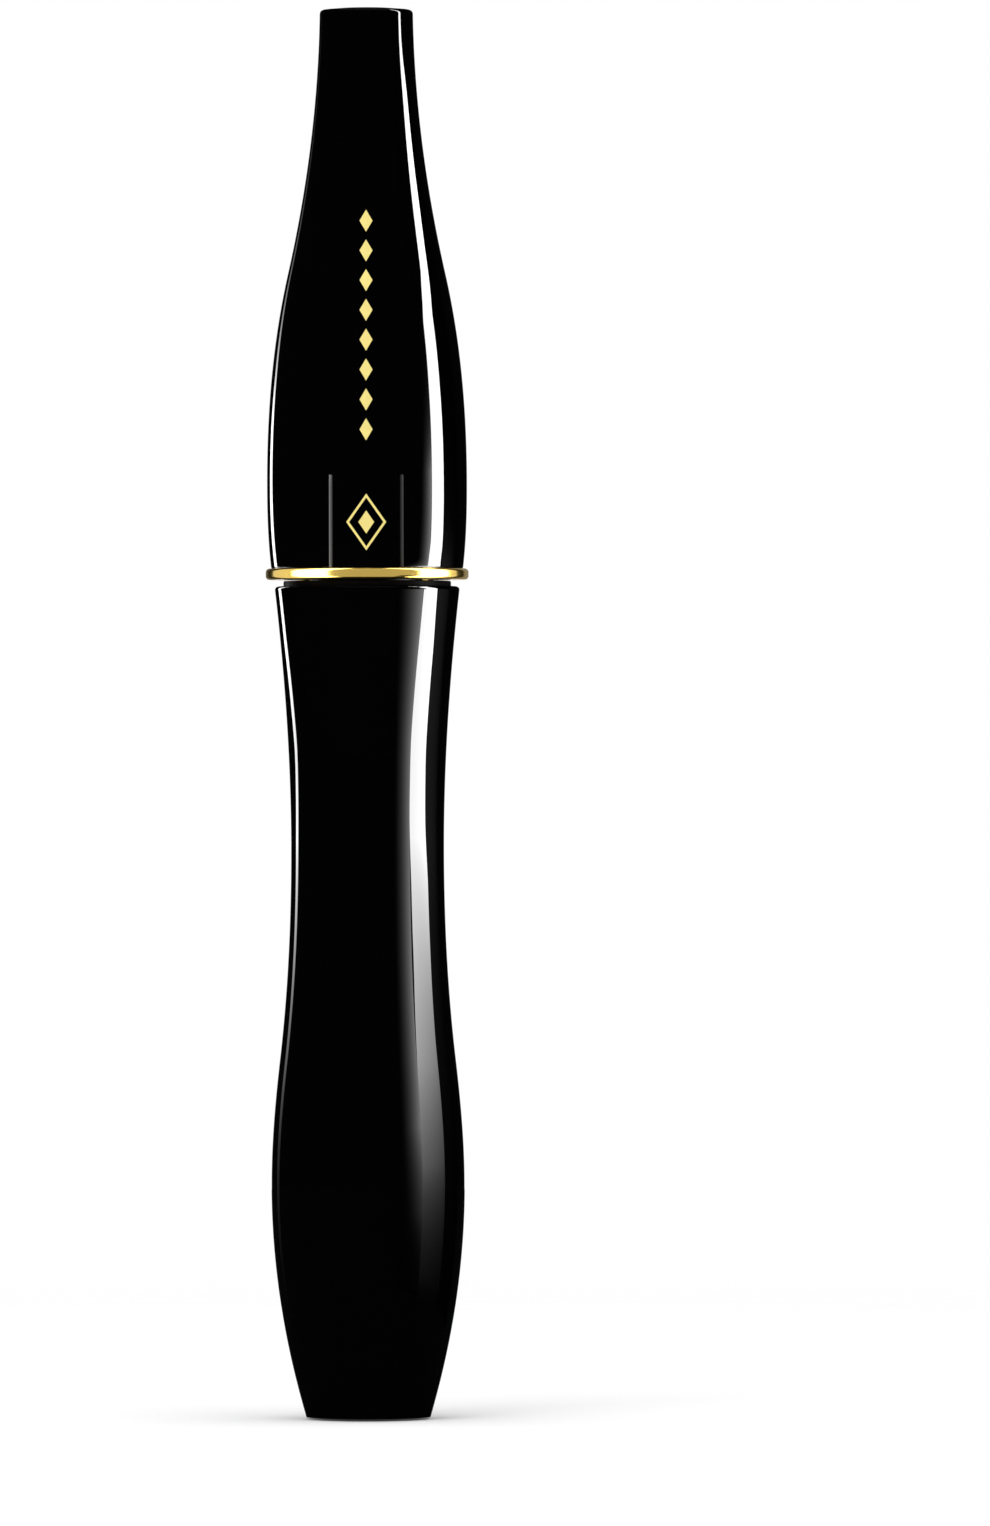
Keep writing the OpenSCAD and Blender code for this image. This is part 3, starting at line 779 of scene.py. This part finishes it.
class MASCARA_OT_wire(bpy.types.Operator):
    """Wind the one wire that is bent double at the tip and twisted on itself"""
    bl_idname = "mascara.wire"
    bl_label = "Twisted wire"
    RINGS_PER_TURN = 24
    BEND_RINGS = 12  # round the hairpin bend

    def execute(self, context):
        w = context.scene.mascara_brush
        bend_z = BRISTLE_Z - w.tip_bare
        rings = int((WIRE_TOP - bend_z) / w.pitch * self.RINGS_PER_TURN)
        heights = [WIRE_TOP + (bend_z - WIRE_TOP) * i / rings for i in range(rings + 1)]
        path = [self.leg(w, z, 1) for z in heights]
        start = path[-1]
        for i in range(1, self.BEND_RINGS):
            turn = math.pi * i / self.BEND_RINGS
            drop = w.wire_off * math.sin(turn)
            path.append(Vector((start.x * math.cos(turn), start.y * math.cos(turn), bend_z - drop)))
        path += [self.leg(w, z, -1) for z in reversed(heights)]
        deselect()
        bpy.ops.curve.primitive_nurbs_path_add()
        core = named("twisted_core").data
        core.splines.clear()
        spline = core.splines.new("POLY")
        spline.points.add(len(path) - 1)
        for point, place in zip(spline.points, path):
            point.co = (*place, 1)
        core.dimensions = "3D"
        core.bevel_depth = w.wire_r
        core.bevel_resolution = 3
        core.use_fill_caps = True
        bpy.ops.object.convert(target="MESH")
        piece = context.object
        finish_mesh()
        material = coated_wire("wire_steel", context.scene.mascara_finish.wire)
        dress(piece, "cap", material, "wire_steel", "twisted_wire")
        return {"FINISHED"}

    def leg(self, w, z, side):
        """Place of one leg of the wire at height z; side is 1 or -1."""
        turn = TAU * (z - ROD_Z) / w.pitch
        return Vector((side * w.wire_off * math.cos(turn), side * w.wire_off * math.sin(turn), z))


class MASCARA_OT_bristles(bpy.types.Operator):
    """Model one bristle, copy it up both edges of the twist and shape the brush"""
    bl_idname = "mascara.bristles"
    bl_label = "Bristles"
    SEGMENTS = 3  # along one bristle
    SPACING = 4   # between the copies while they stand in line

    def execute(self, context):
        w = context.scene.mascara_brush
        deselect()
        bpy.ops.mesh.primitive_circle_add(vertices=4, radius=1, fill_type="NGON")
        piece = named("brush_bristles")
        edit_all()
        for _ in range(self.SEGMENTS):
            bpy.ops.mesh.extrude_region_move(TRANSFORM_OT_translate={"value": (0, 0, 1)})
        edit_all()
        bpy.ops.mesh.normals_make_consistent(inside=False)
        bpy.ops.object.mode_set(mode="OBJECT")
        corners = len(piece.data.vertices)
        modify("ARRAY", count=2 * w.rows, use_relative_offset=False, use_constant_offset=True,
               constant_offset_displace=(self.SPACING, 0, 0))
        self.plant(piece, w, corners)
        bpy.ops.object.shade_smooth()
        material = nylon_black("bristle_nylon", context.scene.mascara_finish.bristle)
        dress(piece, "cap", material, "bristle_nylon", "bristles")
        return {"FINISHED"}

    def plant(self, piece, w, corners):
        """Moves each copied bristle to its place on the twist and gives it its length and lean."""
        rng = np.random.default_rng(7)
        turn_scatter, lean_scatter, curl_scatter = math.radians(7), 0.05, 0.035
        shortest, thinning, lean_power, root = 0.93, 0.35, 1.5, 0.3 * MM
        total = 2 * w.rows
        co = np.empty(len(piece.data.vertices) * 3)
        piece.data.vertices.foreach_get("co", co)
        co = co.reshape(total, corners, 3)
        co[:, :, 0] -= self.SPACING * np.arange(total)[:, None]
        span = BRISTLE_TOP - BRISTLE_Z
        row = np.repeat(np.arange(w.rows), 2)
        side = np.tile([1.0, -1.0], w.rows)
        z = BRISTLE_Z + w.hair_r + (span - 2 * w.hair_r) * (row + 0.5) / w.rows
        share = (z - BRISTLE_Z) / span
        turn = TAU * (z - ROD_Z) / w.pitch + rng.normal(0, turn_scatter, total)
        nose = np.clip((z - BRISTLE_Z) / w.nose, 0, 1)
        blunt = w.tip_r / w.end_r
        reach = (w.mid_r + (w.end_r - w.mid_r) * (2 * share - 1) ** 2)
        trimmed = rng.uniform(shortest, 1.0, total)
        reach *= (blunt + (1 - blunt) * np.sin(nose * math.pi / 2)) * trimmed
        lean = -w.sweep * share ** 2 + rng.normal(0, lean_scatter, total)
        curl = rng.normal(0, curl_scatter, total)
        outward = np.stack([-np.sin(turn) * side, np.cos(turn) * side], 1)
        across = np.stack([np.cos(turn), np.sin(turn)], 1)
        along = co[:, :, 2] / self.SEGMENTS
        r = root + (reach[:, None] - root) * along
        thin = w.hair_r * (1 - thinning * along)
        sway = curl[:, None] * reach[:, None] * along ** 2
        flat = (outward[:, None, :] * r[:, :, None]
                + across[:, None, :] * (co[:, :, 0] * thin + sway)[:, :, None])
        up = z[:, None] + co[:, :, 1] * thin + lean[:, None] * reach[:, None] * along ** lean_power
        up = np.clip(up, BRISTLE_Z, BRISTLE_TOP)
        placed = np.concatenate([flat, up[:, :, None]], 2)
        piece.data.vertices.foreach_set("co", placed.ravel())
        piece.data.update()


class MASCARA_OT_ornament(bpy.types.Operator):
    """Lay a plain foil ornament of lozenges on the cap's front and panel"""
    bl_idname = "mascara.ornament"
    bl_label = "Foil ornament"

    def execute(self, context):
        material = foil_gold("foil_gold", context.scene.mascara_finish.foil)
        row_z, step, in_row, small = 94.5, 2.85, 8, (0.62, 1.054)
        for i in range(in_row):
            self.lozenge(f"foil_lozenge_{i + 1}", row_z + i * step, *small, 0, material)
        centre = CAP_Z / MM + 4.3
        outer, heart, band = (1.9, 2.7), (0.75, 1.1), 0.22
        self.lozenge("foil_panel_frame", centre, *outer, band, material)
        self.lozenge("foil_panel_heart", centre, *heart, 0, material)
        return {"FINISHED"}

    def lozenge(self, name, z, half_w, half_h, band, material):
        """A flat lozenge, or a frame of width band where that is over 0, wrapped onto the cap.

        Height and sizes are in mm.
        """
        deselect()
        bpy.ops.mesh.primitive_circle_add(vertices=4, radius=1, fill_type="NGON")
        piece = named(name)
        edit_all()
        bpy.ops.transform.resize(value=(half_w * MM, half_h * MM, 1))
        if band:
            bpy.ops.mesh.inset(thickness=band * MM)
            bpy.ops.mesh.delete(type="FACE")
        edit_all()
        bpy.ops.mesh.subdivide(number_cuts=7)
        bpy.ops.mesh.quads_convert_to_tris()
        bpy.ops.object.mode_set(mode="OBJECT")
        piece.rotation_euler = (math.pi / 2, 0, 0)
        piece.location = (0, -RING_R - MM, z * MM)
        bpy.ops.object.transform_apply(location=True, rotation=True, scale=True)
        modify("SHRINKWRAP", target=bpy.data.objects["cap_shell_gloss"], wrap_method="PROJECT",
               use_project_y=True, use_negative_direction=False, use_positive_direction=True,
               offset=0.012 * MM)
        modify("SOLIDIFY", thickness=0.01 * MM, offset=1)
        finish_mesh()
        dress(piece, "cap", material, "gold_metal")


class MASCARA_OT_stage(bpy.types.Operator):
    """Set the camera, the pale floor, the lamps, the reflection cards and the white surround"""
    bl_idname = "mascara.stage"
    bl_label = "Studio"

    def execute(self, context):
        bpy.data.collections.new("beyond_cards")
        self.camera(context)
        self.floor()
        self.lamps()
        self.cards()
        self.surround(context)
        context.scene.view_settings.view_transform = "Standard"
        return {"FINISHED"}

    def camera(self, context):
        """The photograph's view: level, from the front, at the height of the tube's middle."""
        frame_px = (990, 1526)
        tube_mm, tube_px = 135, 1410
        mm_per_px = tube_mm / tube_px
        foot_px, axis_px = 1418.5, 367.5
        distance = 1.33
        lean = math.radians(0.09)
        aim_x = (frame_px[0] / 2 - axis_px) * mm_per_px * MM
        aim_z = (foot_px - frame_px[1] / 2) * mm_per_px * MM
        deselect()
        place = (aim_x, -distance, aim_z)
        bpy.ops.object.camera_add(location=place, rotation=(math.pi / 2, lean, 0))
        camera = context.object
        camera.data.lens = camera.data.sensor_width * distance / (frame_px[1] * mm_per_px * MM)
        camera.data.clip_start = 0.01
        context.scene.camera = camera

    def floor(self):
        """A pale disc that keeps the shadow and runs out into the white page."""
        fade_start, fade_end, floor_r = 0.06, 0.4, 0.6
        deselect()
        bpy.ops.mesh.primitive_circle_add(vertices=96, radius=floor_r, fill_type="NGON")
        floor = named("floor")
        material, tree, shader = new_material("pale_floor")
        settings(shader, Base_Color=(0.9, 0.9, 0.9, 1), Roughness=0.9, Specular_IOR_Level=0.0)
        clear = tree.nodes.new("ShaderNodeBsdfTransparent")
        mix = tree.nodes.new("ShaderNodeMixShader")
        reach = tree.nodes.new("ShaderNodeVectorMath")
        reach.operation = "LENGTH"
        tree.links.new(object_point(tree), reach.inputs[0])
        fade = smooth_range(tree, reach.outputs["Value"], fade_start, fade_end, 0.0, 1.0)
        tree.links.new(fade, mix.inputs["Fac"])
        tree.links.new(shader.outputs["BSDF"], mix.inputs[1])
        tree.links.new(clear.outputs["BSDF"], mix.inputs[2])
        out = next(n for n in tree.nodes if n.type == "OUTPUT_MATERIAL")
        tree.links.new(mix.outputs["Shader"], out.inputs["Surface"])
        floor.data.materials.append(material)

    def lamps(self):
        """Two soft lamps for everything, and a ring of seven that only the gold sees."""
        middle = Vector((0, 0, (RING_Z + CAP_Z) / 2))
        # name, place, side and power
        for name, place, side, watts in (
            ("overhead", (0, -0.15, 0.9), 0.9, 4.2),
            ("front_fill", (-0.5, -0.9, 0.6), 0.7, 3.6),
        ):
            self.lamp(name, Vector(place), side, side, watts, middle).visible_glossy = False
        gilded = bpy.data.collections.new("gilded")
        reach, tall = 0.045, 0.24
        aim = Vector((0, 0, 0.14))
        # name, azimuth from the camera's side and half angle in degrees, brightness
        for name, azimuth, half_angle, level in (
            ("gold_left_end", -160, 16, 0.1), ("gold_left_dim", -107, 17, 0.85),
            ("gold_left", -63, 23, 6.5), ("gold_front", 7, 46, 0.5), ("gold_right", 77, 21, 6.5),
            ("gold_right_dim", 106, 7, 0.85), ("gold_right_end", 156, 22, 0.25),
        ):
            a = math.radians(azimuth)
            width = 2 * reach * math.tan(math.radians(half_angle))
            place = aim + reach * Vector((math.sin(a), -math.cos(a), 0))
            lamp = self.lamp(name, place, width, tall, level * math.pi * width * tall, aim)
            lamp.visible_diffuse = False
            lamp.light_linking.receiver_collection = gilded

    def lamp(self, name, place, width, height, watts, aim):
        deselect()
        bpy.ops.object.light_add(type="AREA", location=place)
        lamp = named(name)
        lamp.data.shape = "RECTANGLE"
        lamp.data.size = width
        lamp.data.size_y = height
        lamp.data.energy = watts
        lamp.rotation_euler = (aim - place).to_track_quat("-Z", "Y").to_euler()
        lamp.visible_camera = False
        return lamp

    def cards(self):
        """Tall curved cards close round the tube, and a dark card on the floor, for gloss alone.

        Each row is a height in mm with the azimuths, in degrees from the camera's side, between
        which the card stands there.
        """
        self.card("card_right", 12.0, 0, 0.8, ((55, 13.5), (25, 12.5), (4, 3)), (
            (-150, 63, 97), (41, 63, 97), (47, 66, 98), (52, 65, 97), (56, 62, 91), (61, 62, 89),
            (69, 69, 93), (73, 71, 92), (77, 73, 91), (80, 74, 92), (105, 74, 91), (117, 75, 92),
            (124, 81, 99), (127, 86, 104), (131, 88, 104), (134, 89, 102), (137, 84, 90),
            (200, 84, 90),
        ))
        self.card("card_ramp", 2.2, 2.8, 0, ((32, 8), (16, 6), (92, -4)), (
            (-150, 35, 63), (52, 35, 63), (56, 35, 62), (61, 35, 62), (69, 35, 69), (73, 33, 70),
            (75, 56, 73), (105, 60, 74), (200, 60, 74),
        ))
        self.card("card_trail", 0.1, 1, 0, ((55, 9.5), (77, -4)), (
            (-150, 126, 98), (52, 126, 98), (56, 124, 92), (61, 122, 90), (69, 121, 94),
            (80, 120, 93), (117, 120, 94), (127, 120, 106), (200, 120, 106),
        ))
        self.card("card_left", 4.2, 0, 0, ((55, 7.5), (98, -7)), (
            (-150, -130, -124), (40, -130, -123), (55, -129.5, -121.5), (62, -124, -116.5),
            (72, -135.5, -127), (80, -137, -128.5), (90, -139.5, -131), (104, -138, -132),
            (118, -145, -139), (200, -145, -139),
        ))
        above_floor = (0, 0, 0.2 * MM)
        deselect()
        bpy.ops.mesh.primitive_circle_add(
            vertices=64, radius=0.7, location=above_floor, fill_type="NGON"
        )
        bpy.ops.object.transform_apply(location=True)
        flag = self.only_gloss("card_floor")
        material, _, shader = new_material("card_dark")
        settings(shader, Base_Color=(0.003, 0.003, 0.003, 1), Roughness=1.0, Specular_IOR_Level=0.0)
        flag.data.materials.append(material)

    def card(self, name, glow, ramp_power, taper, fades, rows):
        """A card bent round the tube, which glows at full strength over part of its height.

        ramp_power dims it towards its first azimuth. Each of the fades is a height with a reach,
        in mm: the glow dies away below that height, or above it where the reach is negative.
        taper dims the second azimuth where the fades dim the card.
        """
        reach, across = 50 * MM, 12
        heights = np.arange(rows[0][0], rows[-1][0] + 1)
        known = np.array(rows, dtype=float).T
        soften = np.array([1, 2, 1]) / 4
        sides = []
        for angles in known[1:]:
            exact = np.interp(heights, known[0], angles)
            sides.append(np.convolve(np.pad(exact, 1, mode="edge"), soften, mode="valid"))
        deselect()
        bpy.ops.mesh.primitive_grid_add(
            x_subdivisions=across, y_subdivisions=len(heights) - 1, size=1, calc_uvs=True
        )
        panel = self.only_gloss(name)
        for vertex in panel.data.vertices:
            share = vertex.co.x + 0.5
            row = round((vertex.co.y + 0.5) * (len(heights) - 1))
            a = math.radians(sides[0][row] * (1 - share) + sides[1][row] * share)
            vertex.co = (reach * math.sin(a), -reach * math.cos(a), heights[row] * MM)
        material, tree, glowing = new_material(name, "ShaderNodeEmission")
        settings(glowing, Color=(1, 1, 1, 1))
        height = parts(tree, object_point(tree))["Z"]
        uv = tree.nodes.new("ShaderNodeTexCoord")
        across_share = parts(tree, uv.outputs["UV"])["X"]
        faded = 1.0
        for edge_z, edge_reach in fades:
            above = calc(tree, "SUBTRACT", height, edge_z * MM)
            glow_left = calc(tree, "EXPONENT", calc(tree, "DIVIDE", above, edge_reach * MM))
            faded = calc(tree, "MULTIPLY", faded, calc(tree, "MINIMUM", glow_left, 1.0))
        loss = calc(tree, "MULTIPLY", calc(tree, "SUBTRACT", 1.0, faded), across_share)
        kept = calc(tree, "SUBTRACT", 1.0, calc(tree, "MULTIPLY", loss, taper))
        strength = calc(tree, "MULTIPLY", calc(tree, "POWER", across_share, ramp_power), glow)
        strength = calc(tree, "MULTIPLY", calc(tree, "MULTIPLY", strength, faded), kept)
        tree.links.new(strength, glowing.inputs["Strength"])
        panel.data.materials.append(material)

    def only_gloss(self, name):
        """The card just added, under its name, set to show in gloss alone."""
        obj = named(name)
        obj.light_linking.receiver_collection = bpy.data.collections["beyond_cards"]
        for ray in ("camera", "diffuse", "shadow", "transmission"):
            setattr(obj, "visible_" + ray, False)
        return obj

    def surround(self, context):
        """White behind all; gloss sees a dark studio, a pale ceiling and the white behind."""
        ceiling_level, dark_level, fill_level = 0.08, 0.002, 0.72
        ceiling_from, ceiling_to = 0.72, 0.95
        backdrop_from, backdrop_to = 0.985, 0.995
        world = bpy.data.worlds.new("studio")
        context.scene.world = world
        world.use_nodes = True
        tree = world.node_tree
        tree.nodes.clear()
        coords = tree.nodes.new("ShaderNodeTexCoord")
        _, back, up = parts(tree, coords.outputs["Generated"])
        ceiling = smooth_range(tree, up, ceiling_from, ceiling_to, 0.0, ceiling_level)
        backdrop = smooth_range(tree, back, backdrop_from, backdrop_to, 0.0, 1.0)
        studio = calc(tree, "ADD", calc(tree, "ADD", ceiling, backdrop), dark_level)
        path = tree.nodes.new("ShaderNodeLightPath")
        camera_ray, through_ray = path.outputs["Is Camera Ray"], path.outputs["Is Transmission Ray"]
        seen = calc(tree, "MAXIMUM", camera_ray, through_ray)
        gloss = path.outputs["Is Glossy Ray"]
        rest = calc(tree, "SUBTRACT", 1.0, calc(tree, "MAXIMUM", seen, gloss))
        level = calc(tree, "ADD", seen, calc(tree, "MULTIPLY", gloss, studio))
        level = calc(tree, "ADD", level, calc(tree, "MULTIPLY", rest, fill_level))
        background = add_node(tree, "ShaderNodeBackground", Color=(1, 1, 1, 1))
        tree.links.new(level, background.inputs["Strength"])
        out = tree.nodes.new("ShaderNodeOutputWorld")
        tree.links.new(background.outputs["Background"], out.inputs["Surface"])


STEPS = (
    MASCARA_OT_stage, MASCARA_OT_sleeve, MASCARA_OT_vial, MASCARA_OT_ring, MASCARA_OT_cap,
    MASCARA_OT_inner_cap, MASCARA_OT_rod, MASCARA_OT_wire, MASCARA_OT_bristles, MASCARA_OT_ornament,
)


class MASCARA_PT_panel(bpy.types.Panel):
    """Lists the operators in the order in which they build the tube"""
    bl_idname = "MASCARA_PT_panel"
    bl_label = "Mascara tube"
    bl_space_type = "VIEW_3D"
    bl_region_type = "UI"
    bl_category = "Mascara"

    def draw(self, context):
        for step in STEPS:
            self.layout.operator(step.bl_idname)


def register():
    for group in GROUPS.values():
        bpy.utils.register_class(group)
    for step in (*STEPS, MASCARA_PT_panel):
        bpy.utils.register_class(step)
    for name, group in GROUPS.items():
        setattr(bpy.types.Scene, name, bpy.props.PointerProperty(type=group))


def unregister():
    for name in GROUPS:
        delattr(bpy.types.Scene, name)
    for step in (MASCARA_PT_panel, *reversed(STEPS)):
        bpy.utils.unregister_class(step)
    for group in reversed(list(GROUPS.values())):
        bpy.utils.unregister_class(group)


def main():
    register()
    for step in STEPS:
        family, name = step.bl_idname.split(".")
        getattr(getattr(bpy.ops, family), name)()
    bpy.context.view_layer.update()


if __name__ == "__main__":
    main()
